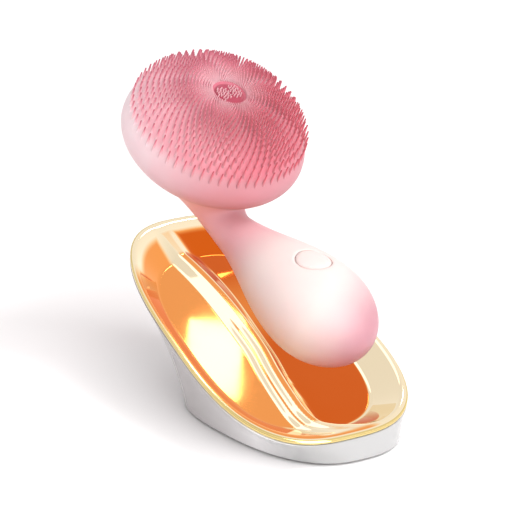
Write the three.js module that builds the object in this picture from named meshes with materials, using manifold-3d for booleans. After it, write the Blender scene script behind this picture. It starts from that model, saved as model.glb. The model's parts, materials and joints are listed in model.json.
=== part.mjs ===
// A sonic facial cleansing brush lying in its display stand.
// Millimetres, +Z up, +Y from the low front of the stand to its high rear, +X to the right.
// The finished group has its origin at the bottom centre of its own box, on the surface it stands on.
import * as THREE from 'three';
import { mergeVertices } from 'three/addons/utils/BufferGeometryUtils.js';
import Module from 'manifold-3d';

const wasm = await Module();
wasm.setup();

// ---------------------------------------------------------------- driving dimensions
const GAP = 0.3;                       // clearance between neighbouring pieces
const DEG = Math.PI / 180;

// Stand: an egg-shaped outline on the ground, lofted up to a larger tilted rim.
const FOOTPRINT = { halfLength: 39.6, halfWidth: 28.8, power: 2.64, taper: 0.19 };
const RIM = { halfLength: 60.4, halfWidth: 32.4, power: 2.86, taper: -0.1 };
const RIM_CENTRE = new THREE.Vector3(-4, 18.1, 27.7);
const RIM_TILT = 17.2 * DEG;
const WALL_SWEEP = 1.4;                // power of the wall's outward sweep from foot to rim
const SHELL_BOTTOM = 0.8;
const SHELL_WALL = 1.5;

// Tray: a plated insert with a broad wing, a curved ridge and a deep channel for the handle.
const LIP_HEIGHT = 1.5;
const LIP_SHARE = 0.03;                // flat lip, as a share of the distance from centre to rim
const TRAY_SHEET = 1.2;
const WING_DEPTH = 5.4;
const RIDGE_DEPTH = 2.6;
const CHANNEL_DEPTH = 7.9;
const CHANNEL_REAR_DEPTH = 5;
const RIDGE_HALF = 0.7;
const WING_FLANK = { front: 3.8, rear: 7 };
const CHANNEL_FLANK = 5.4;
const WALL_SHARE = { wing: 0.195, channel: 0.22, front: 0.18, rear: 0.29 };
const WALL_FILLET = 0.14;              // share of a slope that its fillet takes at each end
const RIDGE_FILLET = 0.22;
const RIDGE_ROUTE = [
  [-9, 64], [-6.8, 50.7], [-4.5, 36], [-3.2, 22], [-3, 8], [-3.8, -8.6],
  [-5.6, -20.5], [-6.9, -32.8], [-7.2, -43], [-5.4, -49.4], [-2.2, -53.1], [4, -57], [12, -63],
];

// Underside of the stand.
const COVER = { bottom: 1, top: 3.4, inset: SHELL_WALL + 0.5 };
const FOOT = { radius: 4, height: 1.7, places: [[-11, -28], [11, -28], [-13, 29], [13, 29]] };
const BASE_SCREW = {
  headRadius: 2.4, headBottom: 1.2, headTop: 1.9, shankRadius: 1.2, top: 5.4,
  places: [[-16, -18], [16, -18], [-20, 20], [20, 20]],
};
const BOSS_RADIUS = 3;
const BALLAST = { width: 31, front: -6, rear: 31, bottom: 3.7, top: 9.7, corner: 4 };

// Brush: a straight egg-shaped handle, a neck that bends up like a trumpet, and a domed head.
const BULB_CENTRE = new THREE.Vector3(10.1, 6.4, 32.95);
const BRUSH_SLOPE = 17.8 * DEG;
const BRUSH_YAW = 8.3 * DEG;
const BULB_RADIUS = 16.9;
const TIP_LENGTH = 23;
const NECK_RADIUS = 6.6;
const NECK_LENGTH = 52;
const NECK_END = 44.5;
const WIDER = 1.04;                    // handle sections are slightly wider than tall
const FLATTER = 0.955;
const SLEEVE_WALL = 1.5;
const CORE_WALL = 1.2;
const CORE_INSET = SLEEVE_WALL + GAP;

const HEAD_CENTRE = new THREE.Vector3(0, 64.6, 29.5);
const HEAD_TILT = 10.8 * DEG;
const HEAD = { radius: 31.1, equator: -3.6, dome: 19.2, cup: 14.8, cupEnd: -34.6 * DEG };
const CAP_WALL = 2;
const FLARE = { radius: 24.7, height: -12.1, angle: 50 * DEG };
const FRAME_RIM = [[23.1, -10.8], [25, -9.3], [26.9, -7.3], [28.2, -5], [28.3, -4.5]];
const FRAME_WALL = 1.4;

// Bristles: tapered silicone pins, all parallel to the head's axis, in rings that open outwards.
const BRISTLE = { base: 0.65, tip: 0.4, length: 4.6, root: 1, sides: 3 };
const BRISTLE_FIELD = { perRing: 16, inner: 8.4, outer: 29.2, rings: 6 };

// Controls and electronics, in the handle's own frame.
const BUTTON = { y: 6.5, radius: 5.8, bottom: 12.4, stemRadius: 2, stemBottom: 11.2 };
const BOARD = { width: 16, front: -10, rear: 16, bottom: 6.4, top: 7.4 };
const SWITCH = { size: 6, bottom: 7.7, top: 10.1, wellRadius: 1.6, wellBottom: 8.2 };
const PLUNGER = { radius: 1.4, bottom: 9, top: 10.9 };
const BOARD_SCREWS = [[-5.4, 12.6], [5.4, -6.6]];
const BATTERY = { width: 15, front: -7.5, rear: 21, bottom: -6, top: 2, corner: 1.5 };
const PORT = { y: -19.4, can: 2.4, face: 2.3, mouth: 1.4, bore: 1.25, depth: 7.5, pin: 0.4 };
const LEAD_RADIUS = 0.8;

// Vibration motor, in the head's own frame, its shaft along X.
const MOTOR = { radius: 5, rear: -9, front: 6, axis: 0.5 };
const SHAFT = { radius: 0.75, rear: 3, front: 12.8 };
const WEIGHT = { radius: 4.6, rear: 7.5, front: 12 };
const RUNNING = 0.07;                  // radial clearance of the shaft in a bore
const CUSHION = { radius: 6.4, width: 3, places: [-6, 4] };
const BRACKET = { radius: 23.8, bottom: -7.8, top: -6.3, saddle: 8.5, saddleTop: -1, leadHole: 3 };

// Facets.
const AROUND_STAND = 48;
const AROUND_HANDLE = 24;
const AROUND_HEAD = 36;

// ---------------------------------------------------------------- colours
const LOOKS = {
  silicone: [0xf2a9b4, 0.45, 0],
  bristle: [0xe8788c, 0.5, 0],
  plastic: [0xf3efee, 0.35, 0],
  gold: [0xf0a050, 0.12, 1],
  gloss: [0xf6f4f5, 0.12, 0],
  dark: [0x3a3a3e, 0.6, 0],
  rubber: [0x55555a, 0.8, 0],
  steel: [0xa8a9ad, 0.35, 1],
  board: [0x2f6b45, 0.5, 0],
  cell: [0x9fb4c8, 0.4, 0.2],
  foam: [0x6d6d70, 0.95, 0],
  lamp: [0xf8f6f0, 0.2, 0],
  copper: [0xb5482c, 0.5, 0],
};

// ---------------------------------------------------------------- geometry helpers
const lerp = THREE.MathUtils.lerp;
const smooth = (t) => THREE.MathUtils.smoothstep(t, 0, 1);

// Rises from 0 to 1 in a straight slope with a fillet at each end.
function slope(t, fillet) {
  const x = THREE.MathUtils.clamp(t, 0, 1);
  const round = 2 * fillet * (1 - fillet);
  if (x < fillet) return (x * x) / round;
  if (x > 1 - fillet) return 1 - (1 - x) ** 2 / round;
  return (x - fillet / 2) / (1 - fillet);
}

const steps = (count) => Array.from({ length: count + 1 }, (_, i) => i / count);
const angles = (count) => Array.from({ length: count }, (_, i) => (2 * Math.PI * i) / count);

// Merges shared vertices and drops the slivers left where a ring closes to a point.
function welded(geometry) {
  const bare = geometry.clone();
  bare.deleteAttribute('normal');
  bare.deleteAttribute('uv');
  const merged = mergeVertices(bare, 1e-3);
  const kept = [];
  for (let i = 0; i < merged.index.count; i += 3) {
    const corner = [0, 1, 2].map((j) => merged.index.getX(i + j));
    if (new Set(corner).size === 3) kept.push(...corner);
  }
  merged.setIndex(kept);
  return merged;
}

function toSolid(geometry) {
  const mesh = welded(geometry);
  const vertProperties = mesh.attributes.position.array;
  return new wasm.Manifold(
    new wasm.Mesh({ numProp: 3, vertProperties, triVerts: new Uint32Array(mesh.index.array) }),
  );
}

function fromSolid(solid) {
  const mesh = solid.getMesh();
  const geometry = new THREE.BufferGeometry();
  geometry.setAttribute('position', new THREE.BufferAttribute(new Float32Array(mesh.vertProperties), 3));
  geometry.setIndex(new THREE.BufferAttribute(new Uint32Array(mesh.triVerts), 1));
  geometry.computeVertexNormals();
  return geometry;
}

function cut(body, ...tools) {
  return fromSolid(tools.reduce((solid, tool) => solid.subtract(toSolid(tool)), toSolid(body)));
}

function join(...pieces) {
  return fromSolid(pieces.map(toSolid).reduce((all, piece) => all.add(piece)));
}

function common(a, b) {
  return fromSolid(toSolid(a).intersect(toSolid(b)));
}

// Skins a row of rings into one closed surface. A ring may shrink to a point;
// with wrap the last ring joins the first. Faces are turned to point outwards.
function skin(rings, wrap = false) {
  const around = rings[0].length;
  const index = [];
  const last = wrap ? rings.length : rings.length - 1;
  for (let i = 0; i < last; i += 1) {
    const a = i * around;
    const b = ((i + 1) % rings.length) * around;
    for (let j = 0; j < around; j += 1) {
      const k = (j + 1) % around;
      index.push(a + j, b + j, b + k, a + j, b + k, a + k);
    }
  }
  const geometry = new THREE.BufferGeometry().setFromPoints(rings.flat());
  geometry.setIndex(index);
  const mesh = welded(geometry);
  if (volumeOf(mesh) < 0) mesh.setIndex(Array.from(mesh.index.array).reverse());
  mesh.computeVertexNormals();
  return mesh;
}

function volumeOf(mesh) {
  const corner = [new THREE.Vector3(), new THREE.Vector3(), new THREE.Vector3()];
  let sum = 0;
  for (let i = 0; i < mesh.index.count; i += 3) {
    corner.forEach((p, j) => p.fromBufferAttribute(mesh.attributes.position, mesh.index.getX(i + j)));
    sum += corner[0].dot(corner[1].clone().cross(corner[2])) / 6;
  }
  return sum;
}

// An upright cylinder from z = bottom to z = top.
function disc(radius, bottom, top, x = 0, y = 0, sides = 20) {
  return new THREE.CylinderGeometry(radius, radius, top - bottom, sides)
    .rotateX(Math.PI / 2)
    .translate(x, y, (bottom + top) / 2);
}

// A cylinder along X.
function rod(radius, rear, front, z = 0, sides = 20) {
  return new THREE.CylinderGeometry(radius, radius, front - rear, sides)
    .rotateZ(Math.PI / 2)
    .translate((rear + front) / 2, 0, z);
}

function block(x0, x1, y0, y1, z0, z1) {
  return new THREE.BoxGeometry(x1 - x0, y1 - y0, z1 - z0)
    .translate((x0 + x1) / 2, (y0 + y1) / 2, (z0 + z1) / 2);
}

// A plate with rounded corners, from z = bottom to z = top.
function roundedPlate(x0, x1, y0, y1, bottom, top, corner) {
  const shape = new THREE.Shape();
  shape.moveTo(x0 + corner, y0);
  shape.lineTo(x1 - corner, y0);
  shape.absarc(x1 - corner, y0 + corner, corner, -Math.PI / 2, 0);
  shape.lineTo(x1, y1 - corner);
  shape.absarc(x1 - corner, y1 - corner, corner, 0, Math.PI / 2);
  shape.lineTo(x0 + corner, y1);
  shape.absarc(x0 + corner, y1 - corner, corner, Math.PI / 2, Math.PI);
  shape.lineTo(x0, y0 + corner);
  shape.absarc(x0 + corner, y0 + corner, corner, Math.PI, 1.5 * Math.PI);
  return new THREE.ExtrudeGeometry(shape, { depth: top - bottom, bevelEnabled: false, curveSegments: 5 })
    .translate(0, 0, bottom);
}

// Turns a closed profile of [radius, height] pairs about Z.
function turned(profile, sides = AROUND_HEAD) {
  const points = [...profile, profile[0]].map(([r, z]) => new THREE.Vector2(Math.max(r, 0), z));
  const lathe = new THREE.LatheGeometry(points, sides).rotateX(Math.PI / 2);
  const mesh = welded(lathe);
  if (volumeOf(mesh) < 0) mesh.setIndex(Array.from(mesh.index.array).reverse());
  return mesh;
}

// A round lead along a smooth route.
function lead(route, radius, segments) {
  const section = new THREE.Shape().absarc(0, 0, radius, 0, 2 * Math.PI);
  const extrudePath = new THREE.CatmullRomCurve3(route.map((p) => new THREE.Vector3(...p)));
  return new THREE.ExtrudeGeometry(section, { steps: segments, extrudePath, curveSegments: 4 });
}

function piece(name, geometry, look, parent) {
  const [color, roughness, metalness] = LOOKS[look];
  const mesh = new THREE.Mesh(geometry, new THREE.MeshStandardMaterial({ color, roughness, metalness }));
  mesh.name = name;
  parent.add(mesh);
  return mesh;
}

// ---------------------------------------------------------------- stand: outlines and tray surface
function outlinePoint(outline, angle, inset = 0) {
  const power = 2 / outline.power;
  const c = Math.cos(angle);
  const s = Math.sin(angle);
  const y = (outline.halfLength - inset) * Math.sign(c) * Math.abs(c) ** power;
  const x = (outline.halfWidth - inset) * Math.sign(s) * Math.abs(s) ** power;
  return [x * (1 + (outline.taper * y) / outline.halfLength), y];
}

// A point of the tilted rim plane, u across, v up the slope, at a depth below the plane.
function onRim(u, v, depth = 0) {
  const rise = new THREE.Vector3(u, v, -depth).applyAxisAngle(new THREE.Vector3(1, 0, 0), RIM_TILT);
  return rise.add(RIM_CENTRE);
}

function wallRing(share, inset) {
  return angles(AROUND_STAND).map((angle) => {
    const [footX, footY] = outlinePoint(FOOTPRINT, angle, inset);
    const top = onRim(...outlinePoint(RIM, angle, inset), LIP_HEIGHT + GAP);
    const sweep = share ** WALL_SWEEP;
    return new THREE.Vector3(
      lerp(footX, top.x, sweep), lerp(footY, top.y, sweep), lerp(SHELL_BOTTOM, top.z, share),
    );
  });
}

const ridgeLine = new THREE.CatmullRomCurve3(RIDGE_ROUTE.map(([u, v]) => new THREE.Vector3(u, v, 0)))
  .getPoints(160);

// Distance from the ridge's crest, positive on the channel's side.
function pastRidge(u, v) {
  let best = Infinity;
  let side = 1;
  for (let i = 0; i < ridgeLine.length - 1; i += 1) {
    const a = ridgeLine[i];
    const b = ridgeLine[i + 1];
    const length = a.distanceToSquared(b);
    const along = THREE.MathUtils.clamp(((u - a.x) * (b.x - a.x) + (v - a.y) * (b.y - a.y)) / length, 0, 1);
    const distance = Math.hypot(u - lerp(a.x, b.x, along), v - lerp(a.y, b.y, along));
    if (distance < best) {
      best = distance;
      side = Math.sign((b.x - a.x) * (v - a.y) - (b.y - a.y) * (u - a.x)) || 1;
    }
  }
  return side * best;
}

function rimHalfWidth(v) {
  const along = Math.min(Math.abs(v) / RIM.halfLength, 1);
  const taper = 1 + (RIM.taper * v) / RIM.halfLength;
  return RIM.halfWidth * taper * (1 - along ** RIM.power) ** (1 / RIM.power);
}

// Depth of the tray's top surface below the rim plane.
function trayDepth(u, v) {
  const along = v / RIM.halfLength;
  const across = u / (RIM.halfWidth * (1 + RIM.taper * along));
  const reach = (Math.abs(across) ** RIM.power + Math.abs(along) ** RIM.power) ** (1 / RIM.power);
  const end = along > 0 ? WALL_SHARE.rear : WALL_SHARE.front;
  const side = lerp(WALL_SHARE.wing, WALL_SHARE.channel, smooth(across + 0.5));
  const wallShare = lerp(side, end, along * along);
  const wall = slope((1 - reach - LIP_SHARE) / wallShare, WALL_FILLET);
  const past = pastRidge(u, v);
  const channel = lerp(CHANNEL_DEPTH, CHANNEL_REAR_DEPTH, smooth((v + 5) / 40));
  const floor = past > 0 ? channel : WING_DEPTH;
  const wingFlank = lerp(WING_FLANK.front, WING_FLANK.rear, smooth((v - 5) / 40));
  const flank = past > 0 ? CHANNEL_FLANK : wingFlank;
  const fall = slope((Math.abs(past) - RIDGE_HALF) / flank, RIDGE_FILLET);
  return wall * lerp(RIDGE_DEPTH, floor, fall);
}

// The tray's sections are knotted closer together on the ridge and at the rim.
const WING_KNOTS = [0, 0.04, 0.12, 0.24, 0.42, 0.66, 0.82, 0.93];
const CHANNEL_KNOTS = [0, 0.04, 0.1, 0.18, 0.32, 0.5, 0.7, 0.85, 0.95, 1];
const TRAY_STATIONS = 22;

function traySection(v, topOffset, bottomOffset) {
  const half = rimHalfWidth(v);
  const crest = THREE.MathUtils.clamp(ridgeAt(v), -0.8 * half, 0.8 * half);
  const knots = [
    ...WING_KNOTS.map((k) => lerp(-half, crest, k)),
    ...CHANNEL_KNOTS.map((k) => lerp(crest, half, k)),
  ];
  const depths = knots.map((u) => trayDepth(u, v));
  const top = knots.map((u, i) => onRim(u, v, depths[i] + topOffset));
  const bottom = knots.map((u, i) => onRim(u, v, bottomOffset(depths[i])));
  return [...top, ...bottom.reverse()];
}

function ridgeAt(v) {
  const i = ridgeLine.findIndex((p) => p.y <= v);
  return ridgeLine[Math.max(i, 0)].x;
}

function traySolid(topOffset, bottomOffset) {
  return skin(steps(TRAY_STATIONS).map((t) => {
    const v = RIM.halfLength * Math.sin((t - 0.5) * Math.PI);
    return traySection(v, topOffset, bottomOffset);
  }));
}

// ---------------------------------------------------------------- stand: pieces
function outlineShape(outline, inset) {
  const points = angles(AROUND_STAND).map((a) => new THREE.Vector2(...outlinePoint(outline, a, inset)));
  return new THREE.Shape(points.reverse());
}

function standShell() {
  const shares = steps(6);
  const outer = shares.map((share) => wallRing(share, 0));
  const inner = shares.toReversed().map((share) => wallRing(share, SHELL_WALL));
  return skin([...outer, ...inner], true);
}

function goldTray() {
  const sheet = traySolid(0, (depth) => Math.max(LIP_HEIGHT, depth + TRAY_SHEET));
  const under = traySolid(TRAY_SHEET / 4, (depth) => depth + RIM_CENTRE.z * 2);
  const boss = ([x, y]) => {
    const post = common(disc(BOSS_RADIUS, COVER.top + GAP, RIM_CENTRE.z + 10, x, y, 16), under);
    return cut(post, disc(BASE_SCREW.shankRadius + GAP, 0, BASE_SCREW.top + GAP, x, y, 12));
  };
  return join(sheet, ...BASE_SCREW.places.map(boss));
}

function baseCover() {
  const plate = new THREE.ExtrudeGeometry(outlineShape(FOOTPRINT, COVER.inset), {
    depth: COVER.top - COVER.bottom, bevelEnabled: false,
  }).translate(0, 0, COVER.bottom);
  const recesses = FOOT.places.map(([x, y]) => disc(FOOT.radius + GAP, 0, FOOT.height + GAP, x, y));
  const bores = BASE_SCREW.places.flatMap(([x, y]) => [
    disc(BASE_SCREW.headRadius + GAP, 0, BASE_SCREW.headTop + GAP, x, y, 16),
    disc(BASE_SCREW.shankRadius + GAP, 0, COVER.top + 1, x, y, 12),
  ]);
  return cut(plate, ...recesses, ...bores);
}

function crossScrew(headRadius, headBottom, headTop, shankRadius, tip) {
  const body = join(
    disc(headRadius, headBottom, headTop, 0, 0, 16),
    disc(shankRadius, headTop - 0.1, tip, 0, 0, 12),
  );
  const arm = headRadius * 0.6;
  const slot = headRadius * 0.13;
  const floor = lerp(headBottom, headTop, 0.55);
  return cut(
    body,
    block(-arm, arm, -slot, slot, headBottom - 1, floor),
    block(-slot, slot, -arm, arm, headBottom - 1, floor),
  );
}

const stand = new THREE.Group();
piece('stand_shell', standShell(), 'gloss', stand);
piece('gold_tray', goldTray(), 'gold', stand);
piece('base_cover', baseCover(), 'plastic', stand);
piece(
  'ballast_plate',
  roundedPlate(-BALLAST.width / 2, BALLAST.width / 2, BALLAST.front, BALLAST.rear,
    BALLAST.bottom, BALLAST.top, BALLAST.corner),
  'steel', stand,
);
FOOT.places.forEach(([x, y], i) => {
  piece(`foot_${i + 1}`, disc(FOOT.radius, 0, FOOT.height), 'rubber', stand).position.set(x, y, 0);
});
BASE_SCREW.places.forEach(([x, y], i) => {
  const { headRadius, headBottom, headTop, shankRadius, top } = BASE_SCREW;
  const screw = crossScrew(headRadius, headBottom, headTop, shankRadius, top);
  piece(`base_screw_${i + 1}`, screw, 'steel', stand).position.set(x, y, 0);
});

// ---------------------------------------------------------------- brush: handle and neck surfaces
function handleRadius(y) {
  if (y < 0) return BULB_RADIUS * Math.sqrt(Math.max(0, 1 - (y / TIP_LENGTH) ** 2));
  return NECK_RADIUS + ((BULB_RADIUS - NECK_RADIUS) * (1 + Math.cos((Math.PI * y) / NECK_LENGTH))) / 2;
}

// Rings from the tip to the end of the neck, offset inwards by inset.
function handleRings(inset, end = NECK_END) {
  const shrink = (BULB_RADIUS - inset) / BULB_RADIUS;
  const bulb = steps(6).slice(0, -1).map((t) => {
    const turn = (t * Math.PI) / 2;
    return [-(TIP_LENGTH - inset) * Math.cos(turn), BULB_RADIUS * shrink * Math.sin(turn)];
  });
  const taper = steps(7).map((t) => [end * t, handleRadius(end * t) - inset]);
  return [...bulb, ...taper].map(([y, radius]) => angles(AROUND_HANDLE).map((angle) => {
    const x = radius * WIDER * Math.cos(angle);
    return new THREE.Vector3(x, y, radius * FLATTER * Math.sin(angle));
  }));
}

// A point given in the head's frame, moved to the handle's frame.
function fromHead(x, y, z) {
  return new THREE.Vector3(x, y, z).applyAxisAngle(new THREE.Vector3(1, 0, 0), HEAD_TILT).add(HEAD_CENTRE);
}

// Rings of the trumpet that leads from the neck to a circle behind the head.
const neckSlope = (handleRadius(NECK_END + 0.01) - handleRadius(NECK_END - 0.01)) / 0.02;

function trumpetRings(inset, endRadius, endHeight, count) {
  const start = handleRadius(NECK_END) - inset;
  return steps(count).map((t) => angles(AROUND_HANDLE).map((angle) => {
    const c = Math.cos(angle);
    const s = Math.sin(angle);
    const p0 = new THREE.Vector3(start * WIDER * c, NECK_END, start * FLATTER * s);
    const p3 = fromHead(endRadius * c, -endRadius * s, endHeight);
    const reach = p0.distanceTo(p3);
    const leaving = new THREE.Vector3(neckSlope * WIDER * c, 1, neckSlope * FLATTER * s);
    const p1 = p0.clone().addScaledVector(leaving, 5 + 0.2 * reach);
    const leave = 4 + 0.25 * reach;
    const back = Math.sin(FLARE.angle) * leave;
    const p2 = fromHead(
      (endRadius - back) * c, -(endRadius - back) * s, endHeight - Math.cos(FLARE.angle) * leave,
    );
    return new THREE.CubicBezierCurve3(p0, p1, p2, p3).getPoint(t);
  }));
}

function headCircle(radius, height) {
  return angles(AROUND_HANDLE).map((a) => fromHead(radius * Math.cos(a), -radius * Math.sin(a), height));
}

function handleSleeve() {
  const outer = [...handleRings(0), ...trumpetRings(0, FLARE.radius, FLARE.height, 7).slice(1)];
  const inner = [
    ...handleRings(SLEEVE_WALL),
    ...trumpetRings(SLEEVE_WALL, FLARE.radius - SLEEVE_WALL, FLARE.height, 7).slice(1),
  ];
  return cut(skin([...outer, ...inner.reverse()], true), buttonBore(), portRod(PORT.mouth, -4, 20));
}

// ---------------------------------------------------------------- brush: controls
function buttonBore() {
  return disc(BUTTON.radius + GAP, BUTTON.bottom - 4, BULB_RADIUS + 2, 0, BUTTON.y, 32);
}

function powerButton() {
  const whole = skin([...handleRings(0), Array(AROUND_HANDLE).fill(new THREE.Vector3(0, NECK_END, 0))]);
  const cap = common(disc(BUTTON.radius, BUTTON.bottom, BULB_RADIUS + 2, 0, BUTTON.y, 32), whole);
  const stem = disc(BUTTON.stemRadius, BUTTON.stemBottom, BUTTON.bottom + 0.5, 0, BUTTON.y, 16);
  return join(cap, stem);
}

// The charging port is a pin socket that looks out square to the underside of the tip.
const portDrop = -handleRadius(PORT.y) * FLATTER;
const portTurn = Math.atan2(
  -portDrop / (BULB_RADIUS * FLATTER) ** 2, -PORT.y / TIP_LENGTH ** 2,
);

// A cylinder along the port's axis, from inward to out, counted from the silicone's surface.
function portRod(radius, inward, out, sides = 16) {
  return disc(radius, inward, out, 0, 0, sides)
    .rotateX(Math.PI / 2 + portTurn)
    .translate(0, PORT.y, portDrop);
}

function chargingSocket() {
  const face = -PORT.face;
  const can = portRod(PORT.can, face - PORT.depth, face, 20);
  const bore = portRod(PORT.bore, face - PORT.depth + 1, face + 1);
  return join(cut(can, bore), portRod(PORT.pin, face - PORT.depth + 0.5, face - 0.6, 10));
}

// ---------------------------------------------------------------- brush: inner shells
function coreShell(isFront) {
  const shell = skin([
    ...handleRings(CORE_INSET, NECK_END - GAP),
    ...handleRings(CORE_INSET + CORE_WALL, NECK_END - GAP).reverse(),
  ], true);
  const seam = GAP / 2;
  const reach = BULB_RADIUS * 2;
  const keep = isFront
    ? block(-reach, reach, -reach, 2 * reach, seam, reach)
    : block(-reach, reach, -reach, 2 * reach, -reach, -seam);
  const half = common(shell, keep);
  if (!isFront) return cut(half, portRod(PORT.can + GAP, -6, 20));
  const inside = skin([
    ...handleRings(CORE_INSET + CORE_WALL / 2, NECK_END - GAP),
    Array(AROUND_HANDLE).fill(new THREE.Vector3(0, NECK_END - GAP, 0)),
  ]);
  const bosses = BOARD_SCREWS.map(([x, y]) => cut(
    common(disc(2, BOARD.top + GAP, BULB_RADIUS, x, y, 12), inside),
    disc(1.2, 0, BOARD.top + 2.8, x, y, 10),
  ));
  return cut(join(half, ...bosses), buttonBore());
}

function headFrame() {
  const outerEnd = [FLARE.radius - SLEEVE_WALL - 0.6, FLARE.height + 0.1];
  const outer = [
    ...trumpetRings(CORE_INSET, ...outerEnd, 7),
    ...FRAME_RIM.map(([r, z]) => headCircle(r, z)),
  ];
  const inner = [
    ...FRAME_RIM.toReversed().map(([r, z]) => headCircle(r - FRAME_WALL, z + (z < -5 ? 0.5 : 0))),
    ...trumpetRings(CORE_INSET + CORE_WALL, outerEnd[0] - 1, outerEnd[1] + 1.1, 7).reverse(),
  ];
  return skin([...outer, ...inner], true);
}

// ---------------------------------------------------------------- brush: head
function headProfile(inset, from, to, count) {
  return steps(count).map((t) => {
    const angle = lerp(from, to, t);
    const rise = Math.sin(angle) > 0 ? HEAD.dome : HEAD.cup;
    return [(HEAD.radius - inset) * Math.cos(angle), HEAD.equator + (rise - inset) * Math.sin(angle)];
  });
}

function domeHeight(radius) {
  return HEAD.equator + HEAD.dome * Math.sqrt(1 - (radius / HEAD.radius) ** 2);
}

function bristle(radius, angle, length) {
  const foot = domeHeight(radius) - BRISTLE.root;
  const height = length + BRISTLE.root;
  return new THREE.CylinderGeometry(BRISTLE.tip, BRISTLE.base, height, BRISTLE.sides)
    .rotateX(Math.PI / 2)
    .translate(radius * Math.cos(angle), radius * Math.sin(angle), foot + height / 2);
}

function bristleHead() {
  const top = Math.PI / 2;
  const cap = turned([
    ...headProfile(0, top, HEAD.cupEnd, 11),
    ...headProfile(CAP_WALL, HEAD.cupEnd, top, 9),
  ]);
  const { perRing, inner, outer, rings } = BRISTLE_FIELD;
  const pins = Array.from({ length: rings }, (_, ring) => {
    const radius = inner * (outer / inner) ** (ring / (rings - 1));
    return angles(perRing).map((a) => bristle(radius, a + (ring * Math.PI) / perRing, BRISTLE.length));
  });
  return join(cap, ...pins.flat());
}

function headCore() {
  const outer = CAP_WALL + 1.3 * GAP;
  return turned([
    ...headProfile(outer, Math.PI / 2, 2 * DEG, 7),
    ...headProfile(outer + 1.5, 2 * DEG, Math.PI / 2, 6),
  ]);
}

function motorBracket() {
  const plate = turned([
    [BRACKET.leadHole, BRACKET.bottom], [BRACKET.radius, BRACKET.bottom],
    [BRACKET.radius, BRACKET.top], [BRACKET.leadHole, BRACKET.top],
  ]);
  const saddles = CUSHION.places.map((x) => cut(
    block(x - 1.5, x + 1.5, -BRACKET.saddle, BRACKET.saddle, BRACKET.top - 0.5, BRACKET.saddleTop),
    rod(CUSHION.radius + GAP, x - 2, x + 2, MOTOR.axis, 28),
  ));
  return join(plate, ...saddles);
}

function motorCan() {
  const can = join(
    rod(MOTOR.radius, MOTOR.rear, MOTOR.front, MOTOR.axis, 28),
    rod(2, MOTOR.front - 0.2, MOTOR.front + 0.8, MOTOR.axis, 16),
  );
  return cut(can, rod(SHAFT.radius + RUNNING, SHAFT.rear - 0.4, MOTOR.front + 2, MOTOR.axis));
}

function eccentricWeight() {
  const whole = rod(WEIGHT.radius, WEIGHT.rear, WEIGHT.front, MOTOR.axis, 28);
  const hub = rod(2, WEIGHT.rear, WEIGHT.front, MOTOR.axis, 16);
  const upper = block(0, 20, -10, 10, MOTOR.axis, 20);
  return cut(join(cut(whole, upper), hub), rod(SHAFT.radius + RUNNING, 0, 20, MOTOR.axis));
}

const brush = new THREE.Group();
brush.position.copy(BULB_CENTRE);
brush.rotation.set(BRUSH_SLOPE, 0, BRUSH_YAW, 'ZYX');
const head = new THREE.Group();
head.position.copy(HEAD_CENTRE);
head.rotation.x = HEAD_TILT;
brush.add(head);

piece('handle_sleeve', handleSleeve(), 'silicone', brush);
piece('front_core', coreShell(true), 'plastic', brush);
piece('back_core', coreShell(false), 'plastic', brush);
piece('head_frame', headFrame(), 'plastic', brush);
piece('power_button', powerButton(), 'silicone', brush);
piece('charging_socket', chargingSocket(), 'steel', brush);
piece(
  'battery',
  roundedPlate(-BATTERY.width / 2, BATTERY.width / 2, BATTERY.front, BATTERY.rear,
    BATTERY.bottom, BATTERY.top, BATTERY.corner),
  'cell', brush,
);
piece(
  'battery_pad',
  block(-6, 6, BATTERY.front + 2, BATTERY.rear - 6, BATTERY.bottom - 1.5, BATTERY.bottom - GAP),
  'foam', brush,
);
piece(
  'battery_leads',
  lead([[-1.5, BATTERY.rear + 1, -1], [-1.5, BATTERY.rear + 1.8, 1.5], [-1.5, BATTERY.rear, 4.3],
    [-1.5, BOARD.rear - 2, 5.3]], 0.6, 8),
  'copper', brush,
);
piece(
  'circuit_board',
  cut(
    roundedPlate(-BOARD.width / 2, BOARD.width / 2, BOARD.front, BOARD.rear, BOARD.bottom, BOARD.top, 3),
    ...BOARD_SCREWS.map(([x, y]) => disc(1.2, 0, 20, x, y, 10)),
  ),
  'board', brush,
);
piece(
  'tact_switch',
  cut(
    block(-SWITCH.size / 2, SWITCH.size / 2, BUTTON.y - SWITCH.size / 2, BUTTON.y + SWITCH.size / 2,
      SWITCH.bottom, SWITCH.top),
    disc(SWITCH.wellRadius, SWITCH.wellBottom, SWITCH.top + 1, 0, BUTTON.y, 16),
  ),
  'dark', brush,
);
piece('switch_plunger', disc(PLUNGER.radius, PLUNGER.bottom, PLUNGER.top, 0, BUTTON.y, 16), 'dark', brush);
piece('status_led', disc(1.5, BOARD.top + GAP, BOARD.top + 2, 0, -4.5, 12), 'lamp', brush);
BOARD_SCREWS.forEach(([x, y], i) => {
  const screw = crossScrew(1.8, BOARD.bottom - 1.3, BOARD.bottom - GAP, 0.9, BOARD.top + 2.4);
  piece(`board_screw_${i + 1}`, screw, 'steel', brush).position.set(x, y, 0);
});
piece(
  'motor_leads',
  lead([
    [2.5, 17, 5], [2, 25, 2.6], [0, 34, 0.6], [0, NECK_END, 0], [0, 53, 0.6], [0, 60, 5.6],
    [0, 64.6, 12], fromHead(0, 0, -10).toArray(), fromHead(0, 0, BRACKET.top - 0.5).toArray(),
  ], LEAD_RADIUS, 26),
  'copper', brush,
);

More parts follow.
